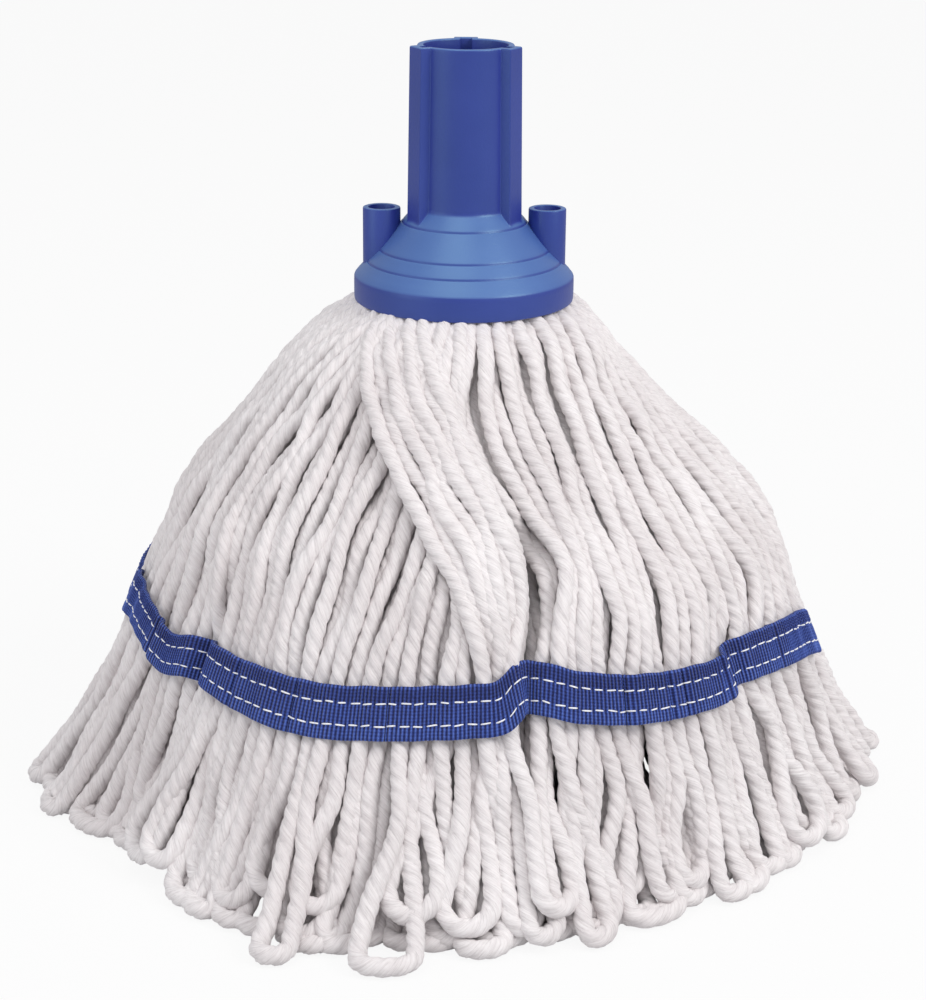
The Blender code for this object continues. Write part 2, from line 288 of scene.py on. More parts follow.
# ---------------------------------------------------------------- curves and surfaces

def smooth_points(points, steps):
    """Points along a Catmull-Rom curve through the given ones."""
    points = np.asarray(points, float)
    padded = np.vstack([2 * points[0] - points[1], points, 2 * points[-1] - points[-2]])
    shares = np.arange(steps) / steps
    pieces = []
    for before, start, end, after in zip(padded, padded[1:], padded[2:], padded[3:]):
        t = shares[:, None]
        pieces.append(0.5 * (
            2 * start + (end - before) * t + (2 * before - 5 * start + 4 * end - after) * t ** 2
            + (3 * start - before - 3 * end + after) * t ** 3
        ))
    pieces.append(points[-1:])
    return np.vstack(pieces)


class Outline:
    """A turned surface: an outline of (radius, height), measured by its run from one of its points."""

    def __init__(self, points, zero_point, lean=None, flare=None):
        steps = 16
        curve = smooth_points(points, steps)
        lengths = np.hypot(*np.diff(curve, axis=0).T)
        self.runs = np.concatenate([[0.0], np.cumsum(lengths)])
        self.runs -= self.runs[zero_point * steps]
        self.radii, self.heights = curve.T
        slopes = np.gradient(curve, axis=0)
        slopes /= np.linalg.norm(slopes, axis=1)[:, None]
        self.out_r, self.out_z = -slopes[:, 1], slopes[:, 0]
        self.lean = lean
        self.flare = flare

    def place(self, azimuth, run, depth):
        """World points, in millimetres, for arrays of azimuth, run and depth."""
        radius = np.interp(run, self.runs, self.radii) - depth * np.interp(run, self.runs, self.out_r)
        height = np.interp(run, self.runs, self.heights) - depth * np.interp(run, self.runs, self.out_z)
        if self.flare is not None:
            wrapped = np.where(azimuth > 270.0, azimuth - 360.0, azimuth)
            wrapped = np.where(azimuth < -90.0, azimuth + 360.0, wrapped)
            share = np.clip((FLARE_HEIGHT - height) / FLARE_HEIGHT, 0.0, 1.0)
            radius = radius * (1.0 + (np.interp(wrapped, *self.flare) / FLOOR_RADIUS - 1.0) * share)
        angle = np.radians(azimuth)
        x = radius * np.sin(angle)
        y = -radius * np.cos(angle)
        if self.lean is not None:
            x = x + np.interp(height, *self.lean)
        return np.stack([x, y, height], axis=-1)

    def run_at(self, height):
        return np.interp(-np.asarray(height), -self.heights, self.runs)


skirt = Outline(OUTLINE, RIM_POINT, tuple(zip(*LEAN)), tuple(zip(*LOOP_REACH)))
inner_layer = Outline(INNER_OUTLINE, 1)


def bell(value, centre, half_width):
    return np.exp(-((value - centre) / half_width) ** 2)


def wrap(azimuth):
    return (np.asarray(azimuth) + 180.0) % 360.0 - 180.0


def swell(azimuth, run, widened):
    """Depth of the skirt's folds and of the tape's creases, less the puffs. Creases can be widened."""
    total = np.zeros(np.broadcast(azimuth, run).shape)
    for sign, shapes in ((1.0, FOLDS), (-1.0, PUFFS)):
        for centre, half_width, at_run, half_length, depth in shapes:
            across = bell(wrap(azimuth - centre), 0.0, half_width)
            total += sign * depth * across * bell(run, at_run, half_length)
    for centre, half_width, depth in CREASES:
        across = bell(wrap(azimuth - centre), 0.0, half_width + widened)
        total += depth * across * bell(run, TAPE_RUN, CREASE_LENGTH)
    return total


class Waves:
    """A smooth random field over azimuth and run: a sum of sines, from -1 to 1 or so."""

    def __init__(self, azimuth_length, run_length, count=7):
        turns = 360.0 / azimuth_length
        self.turns = np.round(rng.uniform(0.6, 1.3, count) * turns) * rng.choice([-1, 1], count)
        self.run_rate = 2 * np.pi / (run_length * rng.uniform(0.7, 1.5, count))
        self.phase = rng.uniform(0, 2 * np.pi, count)

    def at(self, azimuth, run):
        total = 0.0
        for turns, rate, phase in zip(self.turns, self.run_rate, self.phase):
            total = total + np.sin(np.radians(azimuth) * turns + rate * run + phase)
        return total / math.sqrt(len(self.turns) / 2) / 1.6


def wander(count, runs, length, amplitude):
    """Each strand's own small wandering: one row for each strand."""
    total = np.zeros((count, runs.shape[-1]))
    for _ in range(3):
        rate = 2 * np.pi / (length * rng.uniform(0.6, 1.6, (count, 1)))
        total += np.sin(rate * runs + rng.uniform(0, 2 * np.pi, (count, 1)))
    return total * amplitude / 1.7


# ---------------------------------------------------------------- meshes

def mesh_object(name, verts, faces, uvs=None, smooth_angle=None):
    """A mesh from millimetre vertices and quads, each face a row of corners, with one UV per corner."""
    mesh = bpy.data.meshes.new(name)
    verts = np.asarray(verts, np.float32) * MM
    mesh.from_pydata(verts.tolist(), [], [face for block in faces for face in block.tolist()])
    mesh.shade_smooth()
    if smooth_angle is not None:
        mesh.set_sharp_from_angle(angle=smooth_angle)
    if uvs is not None:
        layer = mesh.uv_layers.new(name="strand")
        layer.data.foreach_set("uv", np.concatenate([u.reshape(-1) for u in uvs]).astype(np.float32))
    made = bpy.data.objects.new(name, mesh)
    bpy.context.scene.collection.objects.link(made)
    return made


def wall_quads(index, flipped=False):
    """Quads between neighbouring rings of corners, each ring closed on itself."""
    near, far = index[..., :-1, :], index[..., 1:, :]
    quads = np.stack([near, np.roll(near, -1, -1), np.roll(far, -1, -1), far], axis=-1).reshape(-1, 4)
    return quads[:, [0, 3, 2, 1]] if flipped else quads


def clean_mesh(piece, weld=False):
    """Turns the faces outward and, with weld, first merges corners that lie on one another."""
    bm = bmesh.new()
    bm.from_mesh(piece.data)
    if weld:
        bmesh.ops.remove_doubles(bm, verts=bm.verts, dist=WELD_DISTANCE)
        bmesh.ops.dissolve_degenerate(bm, edges=bm.edges, dist=WELD_DISTANCE)
    bmesh.ops.recalc_face_normals(bm, faces=bm.faces)
    bm.to_mesh(piece.data)
    bm.free()


def resample(paths, count):
    """Evenly spaced points on each path, and the step between them."""
    even = []
    steps = []
    for path in paths:
        lengths = np.linalg.norm(np.diff(path, axis=0), axis=1)
        run = np.concatenate([[0.0], np.cumsum(lengths)])
        wanted = np.linspace(0.0, run[-1], count)
        even.append(np.stack([np.interp(wanted, run, path[:, k]) for k in range(3)], axis=-1))
        steps.append(wanted[1])
    return np.array(even), np.array(steps)


def transported_frames(centres):
    """Two normals at each point of each path, carried along without twist."""
    tangents = np.gradient(centres, axis=1)
    tangents /= np.linalg.norm(tangents, axis=2)[..., None]
    first = np.zeros_like(tangents)
    side = np.cross(tangents[:, 0], np.array([0.0, 0.0, 1.0]))
    current = np.cross(side, tangents[:, 0])
    for k in range(centres.shape[1]):
        t = tangents[:, k]
        current = current - (current * t).sum(1)[:, None] * t
        current /= np.linalg.norm(current, axis=1)[:, None]
        first[:, k] = current
    return first, np.cross(tangents, first)


def twisted_tubes(name, centres, steps, sides, radius, pitch):
    """One mesh of plied yarn along each row of centres: its cross section has a lobe for each ply.

    radius is one number, or one for each centre.
    """
    strands, rings = centres.shape[:2]
    first, second = transported_frames(centres)
    around = np.arange(sides) / sides
    ply = PLY_COUNT * np.pi * around
    lobe = 1.0 - PLY_GROOVE + PLY_GROOVE * np.abs(np.cos(ply)) ** 0.8
    run = np.arange(rings)[None, :] * steps[:, None]
    start_turn = rng.uniform(0, 1, strands)[:, None]
    strand_pitch = pitch * rng.uniform(0.92, 1.12, strands)[:, None]
    stretch = 0.12 * np.sin(run / rng.uniform(9, 16, (strands, 1)) + rng.uniform(0, 6, (strands, 1)))
    turn = 2 * np.pi * (around[None, None, :] - (run / strand_pitch + start_turn + stretch)[..., None])
    thickness = radius * (1.0 + 0.05 * np.sin(run / rng.uniform(4, 11, (strands, 1))))
    rough = rng.uniform(-0.035, 0.035, (strands, rings, sides))
    reach = thickness[..., None] * (lobe[None, None, :] + rough)
    verts = (
        centres[:, :, None, :]
        + (reach * np.cos(turn))[..., None] * first[:, :, None, :]
        + (reach * np.sin(turn))[..., None] * second[:, :, None, :]
    ).reshape(-1, 3)
    index = np.arange(strands * rings * sides).reshape(strands, rings, sides)
    caps = np.concatenate([index[:, 0, ::-1], index[:, -1]])
    along = np.broadcast_to(run[..., None], index.shape)
    shift = (np.arange(strands) * 3.7)[:, None, None]
    u0, u1 = along[:, :-1] + shift * 50, along[:, 1:] + shift * 50
    v0 = np.broadcast_to(around, u0.shape) + shift
    v1 = v0 + 1.0 / sides
    corners = np.stack([
        np.stack([u0, v0], -1), np.stack([u0, v1], -1), np.stack([u1, v1], -1), np.stack([u1, v0], -1),
    ], axis=3).reshape(-1, 2)
    cap_uvs = np.zeros((caps.size, 2))
    return mesh_object(name, verts, [wall_quads(index), caps], [corners, cap_uvs])


# ---------------------------------------------------------------- materials

def shader_material(name, base, roughness):
    material = bpy.data.materials.new(name)
    material.use_nodes = True
    nodes = material.node_tree.nodes
    shader = nodes["Principled BSDF"]
    shader.inputs["Base Color"].default_value = (*base, 1.0)
    shader.inputs["Roughness"].default_value = roughness
    return material, nodes, material.node_tree.links, shader


def add_node(nodes, kind, **settings):
    """A shader node with its properties and, by name, its input values."""
    node = nodes.new(kind)
    for key, value in settings.items():
        if hasattr(node, key):
            setattr(node, key, value)
        else:
            node.inputs[key.replace("_", " ")].default_value = value
    return node


def multiply_node(nodes):
    """A node that multiplies the colours of its inputs 6 and 7."""
    return add_node(nodes, "ShaderNodeMix", data_type="RGBA", blend_type="MULTIPLY", Factor=1.0)


def math_node(nodes, operation, second=None):
    """A math node, with its second input set where one is given."""
    node = add_node(nodes, "ShaderNodeMath", operation=operation)
    if second is not None:
        node.inputs[1].default_value = second
    return node


def connect(links, wires):
    """Links the nodes: each wire is a node, its output, the next node and its input."""
    for node, output, following, entry in wires:
        links.new(node.outputs[output], following.inputs[entry])


def ramp_node(nodes, stops):
    node = nodes.new("ShaderNodeValToRGB")
    while len(node.color_ramp.elements) < len(stops):
        node.color_ramp.elements.new(0.5)
    for element, (position, colour) in zip(node.color_ramp.elements, stops):
        element.position = position
        element.color = (*colour, 1.0)
    return node


def plastic_material():
    """Moulded polypropylene: blue with faint flow marks, and a painted sheen, a paler cyan blue, where it
    faces up.
    """
    material, nodes, links, shader = shader_material("moulded_plastic", (0.026, 0.038, 0.275), 0.4)
    place = add_node(nodes, "ShaderNodeTexCoord")
    facing = add_node(nodes, "ShaderNodeNewGeometry")
    split = add_node(nodes, "ShaderNodeSeparateXYZ")
    flow = add_node(nodes, "ShaderNodeTexNoise", Scale=38.0, Detail=3.0, Roughness=0.5)
    skin = add_node(nodes, "ShaderNodeTexNoise", Scale=900.0, Detail=2.0, Roughness=0.6)
    tint = ramp_node(nodes, ((0.3, (0.023, 0.034, 0.255)), (0.72, (0.03, 0.042, 0.29))))
    # Painted sheen: faces that look up are mixed towards this paler cyan blue, standing in for the top lamp's
    # glossy reflection on the cone.
    painted_sheen = ramp_node(nodes, ((0.3, (0.066, 0.136, 0.375)), (0.72, (0.08, 0.158, 0.415))))
    upward = add_node(nodes, "ShaderNodeMapRange", From_Min=0.3, From_Max=0.72)
    colour = add_node(nodes, "ShaderNodeMix", data_type="RGBA")
    gloss = add_node(nodes, "ShaderNodeMapRange", To_Min=0.34, To_Max=0.48)
    bump = add_node(nodes, "ShaderNodeBump", Strength=0.12, Distance=0.0004)
    connect(links, (
        (place, "Object", flow, "Vector"), (place, "Object", skin, "Vector"),
        (facing, "Normal", split, "Vector"), (split, "Z", upward, "Value"), (flow, "Fac", tint, "Fac"),
        (flow, "Fac", painted_sheen, "Fac"), (upward, "Result", colour, "Factor"), (tint, "Color", colour, 6),
        (painted_sheen, "Color", colour, 7), (colour, 2, shader, "Base Color"), (flow, "Fac", gloss, "Value"),
        (gloss, "Result", shader, "Roughness"), (skin, "Fac", bump, "Height"),
        (bump, "Normal", shader, "Normal"),
    ))
    shader.inputs["Specular IOR Level"].default_value = 0.75
    shader.inputs["Specular Tint"].default_value = (0.6, 1.0, 0.95, 1.0)
    return material


def cotton_material():
    """Carded cotton yarn: fibres run along each ply, with soft shade in the grooves and faint nap."""
    material, nodes, links, shader = shader_material("cotton_yarn", (0.84, 0.82, 0.815), 0.95)
    uv = add_node(nodes, "ShaderNodeUVMap", uv_map="strand")
    stretch = add_node(nodes, "ShaderNodeMapping", Scale=(0.15, 18.0, 1.0))
    fibres = add_node(nodes, "ShaderNodeTexNoise", Scale=1.0, Detail=5.0, Roughness=0.62)
    place = add_node(nodes, "ShaderNodeTexCoord")
    fine_stretch = add_node(nodes, "ShaderNodeMapping", Scale=(0.4, 46.0, 1.0))
    nap = add_node(nodes, "ShaderNodeTexNoise", Scale=1.0, Detail=4.0, Roughness=0.7)
    patch = add_node(nodes, "ShaderNodeTexNoise", Scale=26.0, Detail=2.0, Roughness=0.5)
    blend_height = add_node(nodes, "ShaderNodeMix", data_type="FLOAT", Factor=0.45)
    tint = ramp_node(nodes, (
        (0.3, (0.58, 0.535, 0.54)), (0.5, (0.84, 0.80, 0.80)), (0.68, (0.95, 0.925, 0.925)),
    ))
    patch_tint = ramp_node(nodes, ((0.35, (0.90, 0.885, 0.885)), (0.65, (1.0, 1.0, 1.0))))
    combine = multiply_node(nodes)
    bump = add_node(nodes, "ShaderNodeBump", Strength=0.8, Distance=0.0006)
    connect(links, (
        (uv, "UV", stretch, "Vector"), (stretch, "Vector", fibres, "Vector"),
        (uv, "UV", fine_stretch, "Vector"), (fine_stretch, "Vector", nap, "Vector"),
        (place, "Object", patch, "Vector"), (fibres, "Fac", blend_height, 2),
        (nap, "Fac", blend_height, 3), (blend_height, 0, tint, "Fac"),
        (patch, "Fac", patch_tint, "Fac"), (tint, "Color", combine, 6),
        (patch_tint, "Color", combine, 7), (combine, 2, shader, "Base Color"),
        (blend_height, 0, bump, "Height"), (bump, "Normal", shader, "Normal"),
    ))
    shader.inputs["Sheen Weight"].default_value = 0.25
    shader.inputs["Sheen Roughness"].default_value = 0.6
    shader.inputs["Specular IOR Level"].default_value = 0.15
    return material


# How the webbing is shaded over its width, from the lower edge to the upper: (share, colour)
WEBBING_BANDS = (
    (0.0, (1.0, 1.0, 1.0)), (0.24, (0.95, 0.95, 0.95)), (0.3, (0.8, 0.8, 0.85)),
    (0.66, (0.74, 0.74, 0.8)), (0.74, (0.5, 0.5, 0.6)), (0.92, (0.52, 0.52, 0.62)), (0.97, (1.0, 1.0, 1.0)),
)


def webbing_material():
    """Blue ribbed webbing: weft ribs across it, warp beads along it, and darker gaps between them."""
    material, nodes, links, shader = shader_material("blue_webbing", (0.045, 0.09, 0.40), 0.75)
    uv = add_node(nodes, "ShaderNodeUVMap", uv_map="strand")
    split = add_node(nodes, "ShaderNodeSeparateXYZ")
    ribs = math_node(nodes, "MULTIPLY", 2 * math.pi / RIB_PITCH)
    rib_wave = math_node(nodes, "COSINE")
    beads = math_node(nodes, "MULTIPLY", 2 * math.pi / BEAD_PITCH)
    bead_wave = math_node(nodes, "COSINE")
    weave = math_node(nodes, "MULTIPLY_ADD", 0.28)
    place = add_node(nodes, "ShaderNodeTexCoord")
    worn = add_node(nodes, "ShaderNodeTexNoise", Scale=120.0, Detail=3.0, Roughness=0.6)
    fine = add_node(nodes, "ShaderNodeTexNoise", Scale=1500.0, Detail=2.0, Roughness=0.6)
    mixed = math_node(nodes, "MULTIPLY_ADD", 1.7)
    level = add_node(nodes, "ShaderNodeMapRange", From_Min=-1.1, From_Max=3.0)
    tint = ramp_node(nodes, (
        (0.22, (0.009, 0.015, 0.095)), (0.5, (0.036, 0.072, 0.33)), (0.78, (0.105, 0.19, 0.62)),
    ))
    patch = ramp_node(nodes, ((0.3, (0.72, 0.72, 0.78)), (0.7, (1.0, 1.0, 1.0))))
    combine = multiply_node(nodes)
    share = math_node(nodes, "DIVIDE", TAPE_WIDTH)
    bands = ramp_node(nodes, WEBBING_BANDS)
    banded = multiply_node(nodes)
    bump = add_node(nodes, "ShaderNodeBump", Strength=0.6, Distance=0.0004)
    connect(links, (
        (uv, "UV", split, "Vector"), (split, "X", ribs, 0), (ribs, "Value", rib_wave, 0),
        (split, "Y", beads, 0), (beads, "Value", bead_wave, 0), (bead_wave, "Value", weave, 0),
        (rib_wave, "Value", weave, 2), (place, "Object", worn, "Vector"),
        (place, "Object", fine, "Vector"), (fine, "Fac", mixed, 0), (weave, "Value", mixed, 2),
        (mixed, "Value", level, "Value"), (level, "Result", tint, "Fac"), (worn, "Fac", patch, "Fac"),
        (tint, "Color", combine, 6), (patch, "Color", combine, 7), (split, "Y", share, 0),
        (share, "Value", bands, "Fac"), (combine, 2, banded, 6), (bands, "Color", banded, 7),
        (banded, 2, shader, "Base Color"), (mixed, "Value", bump, "Height"),
        (bump, "Normal", shader, "Normal"),
    ))
    shader.inputs["Sheen Weight"].default_value = 0.15
    shader.inputs["Specular IOR Level"].default_value = 0.25
    return material


def thread_material():
    """White sewing thread with a fine twist."""
    material, nodes, links, shader = shader_material("white_thread", (0.86, 0.87, 0.90), 0.55)
    place = add_node(nodes, "ShaderNodeTexCoord")
    twist = add_node(nodes, "ShaderNodeTexNoise", Scale=1400.0, Detail=2.0)
    tint = ramp_node(nodes, ((0.3, (0.70, 0.71, 0.76)), (0.6, (0.90, 0.90, 0.92))))
    bump = add_node(nodes, "ShaderNodeBump", Strength=0.4, Distance=0.0002)
    connect(links, (
        (place, "Object", twist, "Vector"), (twist, "Fac", tint, "Fac"),
        (tint, "Color", shader, "Base Color"), (twist, "Fac", bump, "Height"),
        (bump, "Normal", shader, "Normal"),
    ))
    return material


PLASTIC = plastic_material()
COTTON = cotton_material()
WEBBING = webbing_material()
THREAD = thread_material()


def finish_piece(piece, material, nodes):
    piece.data.materials.append(material)
    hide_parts(*nodes)


# ---------------------------------------------------------------- outer yarn

def flow_offset(tape_azimuth, runs):
    """Sideways offset of each strand at each run: one row for each strand."""
    known = sorted(FLOW)
    table = np.array([FLOW[azimuth] for azimuth in known])
    wrapped = wrap(tape_azimuth)
    rows = np.stack([np.interp(wrapped, known, column) for column in table.T], axis=-1)
    dense_runs = np.linspace(FLOW_RUNS[0], FLOW_RUNS[-1], 96)
    offsets = []
    for row, run in zip(rows, runs):
        curve = smooth_points(np.stack([FLOW_RUNS, row], axis=-1), 16)
        dense = np.interp(dense_runs, curve[:, 0], curve[:, 1])
        offsets.append(np.interp(run, dense_runs, dense))
    return np.array(offsets)


side_waves = Waves(13.0, 75.0)
depth_waves = Waves(11.0, 60.0)
clump_waves = Waves(15.0, 400.0)


def make_legs(half):
    """The legs of one half's loops: azimuth at the tape, layer, and place in the crossing bunch or -1.

    The legs of the backing, a lining under the others, come last, with layer -1.
    """
    first = FIRST_AZIMUTH[half]
    grid = np.linspace(first, first + 180.0, 721)
    crowding = 1.0 + sum(extra * bell(wrap(grid - centre), 0.0, width) for centre, width, extra in CROWDED)
    filled = np.cumsum(crowding)
    count = LEGS_PER_HALF
    azimuths = np.interp((np.arange(count) + 0.5) / count * filled[-1], filled, grid)
    layers = np.array(LAYER_ORDER, float)[np.arange(count) % 4]
    crossing = np.full(count, -1)
    if half == "front":
        kept = (azimuths < CROSSING_SPAN[0] - 0.6) | (azimuths > GROOVE_EDGE)
        azimuths = np.concatenate([azimuths[kept], np.linspace(*CROSSING_SPAN, CROSSING_COUNT)])
        layers = np.concatenate([layers[kept], np.zeros(CROSSING_COUNT)])
        crossing = np.concatenate([crossing[kept], np.arange(CROSSING_COUNT)])
        order = np.argsort(azimuths, kind="stable")
        azimuths, layers, crossing = azimuths[order], layers[order], crossing[order]
    backing = first + 180.0 * (np.arange(BACKING_LEGS) + 0.5) / BACKING_LEGS
    azimuths = np.concatenate([azimuths, backing])
    layers = np.concatenate([layers, np.full(BACKING_LEGS, -1.0)])
    crossing = np.concatenate([crossing, np.full(BACKING_LEGS, -1)])
    return azimuths, layers, crossing


def crossing_azimuth(number, runs):
    """Azimuths of one strand of the crossing bunch: an eased sweep from the rim to the pinch."""
    across = number / (CROSSING_COUNT - 1)
    start, end, ease = (
        low + (high - low) * across for low, high in (CROSSING_START, CROSSING_SPAN, CROSSING_EASE)
    )
    left = 1.0 - np.clip(runs / TAPE_RUN, 0.0, 1.0)
    bulge = CROSSING_BULGE * across ** 2 * bell(runs, CROSSING_BULGE_RUN, CROSSING_BULGE_LENGTH)
    return end + (start - end) * left ** ease + bulge


def pair_legs(count, first):
    """Pairs of nearby legs, in groups of six with one of a few patterns."""
    pairs = []
    start = first
    while first + count - start >= 6:
        pattern = PAIRINGS[rng.integers(len(PAIRINGS))]
        pairs += [(start + a, start + b) for a, b in pattern]
        start += 6
    return pairs + [(k, k + 1) for k in range(start, first + count - 1, 2)]


def leg_azimuths(tape_azimuth, crossing, backing, runs):
    """Azimuths of legs above and below the tape, before they draw together into loops."""
    flow = flow_offset(tape_azimuth, runs)
    azimuth = tape_azimuth[:, None] + flow * np.where(backing, 0.3, 1.0)[:, None]
    for row, number in enumerate(crossing):
        if number >= 0:
            azimuth[row] = crossing_azimuth(number, np.clip(runs[row], 0.0, TAPE_RUN))
    return azimuth


def leg_depths(azimuth, runs, layer, crossing, backing, parity):
    """Depths of the legs' middles under the outline."""
    radius = np.interp(runs, skirt.runs, skirt.radii)
    crowd = 2 * LEGS_PER_HALF * STRAND_SPACING / (2 * np.pi * radius) - 1.0
    squeeze = 0.4 + 0.6 * np.clip(runs / 16.0, 0.0, 1.0)
    layer_depth = LAYER_PACKING * layer[:, None] / 3.0 * np.clip(crowd, 0.3, 2.6) * squeeze
    layer_depth = np.where(backing[:, None], BACKING_DEPTH * squeeze, layer_depth)
    depth = STRAND_RADIUS + layer_depth + swell(azimuth, runs, 1.4)
    free = np.clip(np.abs(runs - TAPE_RUN) / FREE_RUN, 0.0, 1.0)
    depth = depth + (0.8 * depth_waves.at(azimuth, runs) + wander(len(runs), runs, 38.0, 0.4)) * free
    gripped = parity[:, None] * 1.3 * bell(runs, TAPE_RUN, 30.0)
    depth = depth + gripped + GRIP_DEPTH * bell(runs, TAPE_RUN, 15.0)
    over = (crossing >= 0)[:, None]
    lift = CROSSING_LIFT * bell(runs, 62.0, 40.0)
    stack = (crossing % 3)[:, None] * 2.6 * bell(runs, 130.0, 34.0) + (crossing % 2)[:, None] * 1.3
    return np.where(over, depth - lift + stack, depth)


def yarn_paths(half):
    """A path for each loop of one half: down one leg, round the end and up the other."""
    azimuths, layers, crossing = make_legs(half)
    outer_count = len(azimuths) - BACKING_LEGS
    legs = np.array(pair_legs(outer_count, 0) + pair_legs(BACKING_LEGS, outer_count))
    loops = len(legs)
    backing = layers[legs[:, 0]] < 0
    middle = azimuths[legs].mean(1)
    half_width = rng.uniform(4.0, 8.4, loops)
    spread = np.empty(loops)
    spread[np.argsort(middle, kind="stable")] = (
        FIRST_AZIMUTH[half] + 180.0 * (np.arange(loops) + 0.5) / loops
    )
    bottom = 0.8 * spread + 0.2 * middle + 0.8 * clump_waves.at(middle, 200.0) + rng.uniform(-1.3, 1.3, loops)
    loop_depth = np.tile([0.0, 5.0, 10.0, 2.5, 7.5], loops // 5 + 1)[rng.permutation(loops)]
    loop_depth = np.where(backing, loop_depth * 0.5 + 2.0, loop_depth)
    shortfall = np.where(backing, 5.0, 19.0) * rng.uniform(0, 1, loops) ** 2
    end_run = FLOOR_RUN - 0.7 * loop_depth - shortfall
    swapped = rng.uniform(0, 1, loops) < 0.25
    turn_azimuth = np.degrees(half_width / LOOP_END_RADIUS)
    last_run = (end_run - half_width)[:, None]
    runs = LEG_START + (last_run - LEG_START) * np.linspace(0.0, 1.0, LEG_NODES)
    radius = np.interp(runs, skirt.runs, skirt.radii)
    free = np.clip(np.abs(runs - TAPE_RUN) / FREE_RUN, 0.0, 1.0)
    below = np.clip((runs - TAPE_RUN - 4) / (last_run - TAPE_RUN - 4), 0.0, 1.0)
    drift = below ** 1.4 * (1.7 - 0.7 * below)
    opening = below ** 2 * (3.0 - 2.0 * below)
    pinch = 1.0 - 0.45 * bell(below, 0.45, 0.28)
    deepen = np.clip((runs - TAPE_RUN - 8) / 45.0, 0.0, 1.0)
    sides = []
    for side in (0, 1):
        leg = legs[:, side]
        base = leg_azimuths(azimuths[leg], crossing[leg], backing, runs)
        outward = (1 if side else -1) * np.where(swapped, -1, 1) * turn_azimuth
        own_half = base - middle[:, None]
        azimuth = middle[:, None] + (bottom - middle)[:, None] * drift
        azimuth = azimuth + (own_half * (1 - opening) + outward[:, None] * opening) * pinch
        above = runs < TAPE_RUN + 4
        azimuth = np.where(above, base, azimuth)
        sideways = 1.5 * side_waves.at(base, runs) * np.clip(runs / 60.0, 0, 1)
        sideways = sideways + wander(loops, runs, 46.0, 0.6)
        azimuth = azimuth + np.degrees(sideways * free / radius)
        depth = leg_depths(azimuth, runs, layers[leg], crossing[leg], backing, leg % 2)
        depth = depth + (loop_depth[:, None] + (1.2 if side else -0.6)) * deepen
        sides.append((azimuth, depth))
    (first_az, first_depth), (second_az, second_depth) = sides
    angles = np.linspace(0.0, np.pi, TURN_NODES + 2)[1:-1]
    paths = []
    for k in range(loops):
        start_az, stop_az = first_az[k, -1], second_az[k, -1]
        turn_az = (start_az + stop_az) / 2 - (stop_az - start_az) / 2 * np.cos(angles)
        turn_run = runs[k, -1] + half_width[k] * 1.05 * np.sin(angles)
        turn_share = (1 - np.cos(angles)) / 2
        turn_depth = first_depth[k, -1] * (1 - turn_share) + second_depth[k, -1] * turn_share
        points = skirt.place(
            np.concatenate([first_az[k], turn_az, second_az[k, ::-1]]),
            np.concatenate([runs[k], turn_run, runs[k, ::-1]]),
            np.concatenate([first_depth[k], turn_depth, second_depth[k, ::-1]]),
        )
        points[:, 2] = rest_on_floor(points[:, 2], LOOSE_RADIUS)
        paths.append(smooth_points(points, 8))
    return paths, middle


def rest_on_floor(height, clearance):
    """Heights that flatten out smoothly at the floor."""
    softness = 1.6
    above = (height - clearance) / softness
    return clearance + softness * np.logaddexp(0.0, above)


def make_outer_yarn():
    for half in ("front", "rear"):
        paths, middles = yarn_paths(half)
        share = (middles - FIRST_AZIMUTH[half]) / 180.0
        bundle = np.clip((share * BUNDLES).astype(int), 0, BUNDLES - 1)
        for k in range(BUNDLES):
            chosen = [path for path, number in zip(paths, bundle) if number == k]
            centres, steps = resample(chosen, LOOP_RINGS)
            height = centres[..., 2]
            radius = STRAND_RADIUS + (LOOSE_RADIUS - STRAND_RADIUS) * np.clip((60.0 - height) / 40.0, 0, 1)
            name = f"{half}_yarn_loops_{k + 1}"
            piece = twisted_tubes(name, centres, steps, LOOP_SIDES, radius, PLY_PITCH)
            finish_piece(piece, COTTON, [f"{half}_yarn_{k + 1}"])
            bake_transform(piece)


# ---------------------------------------------------------------- inner yarn

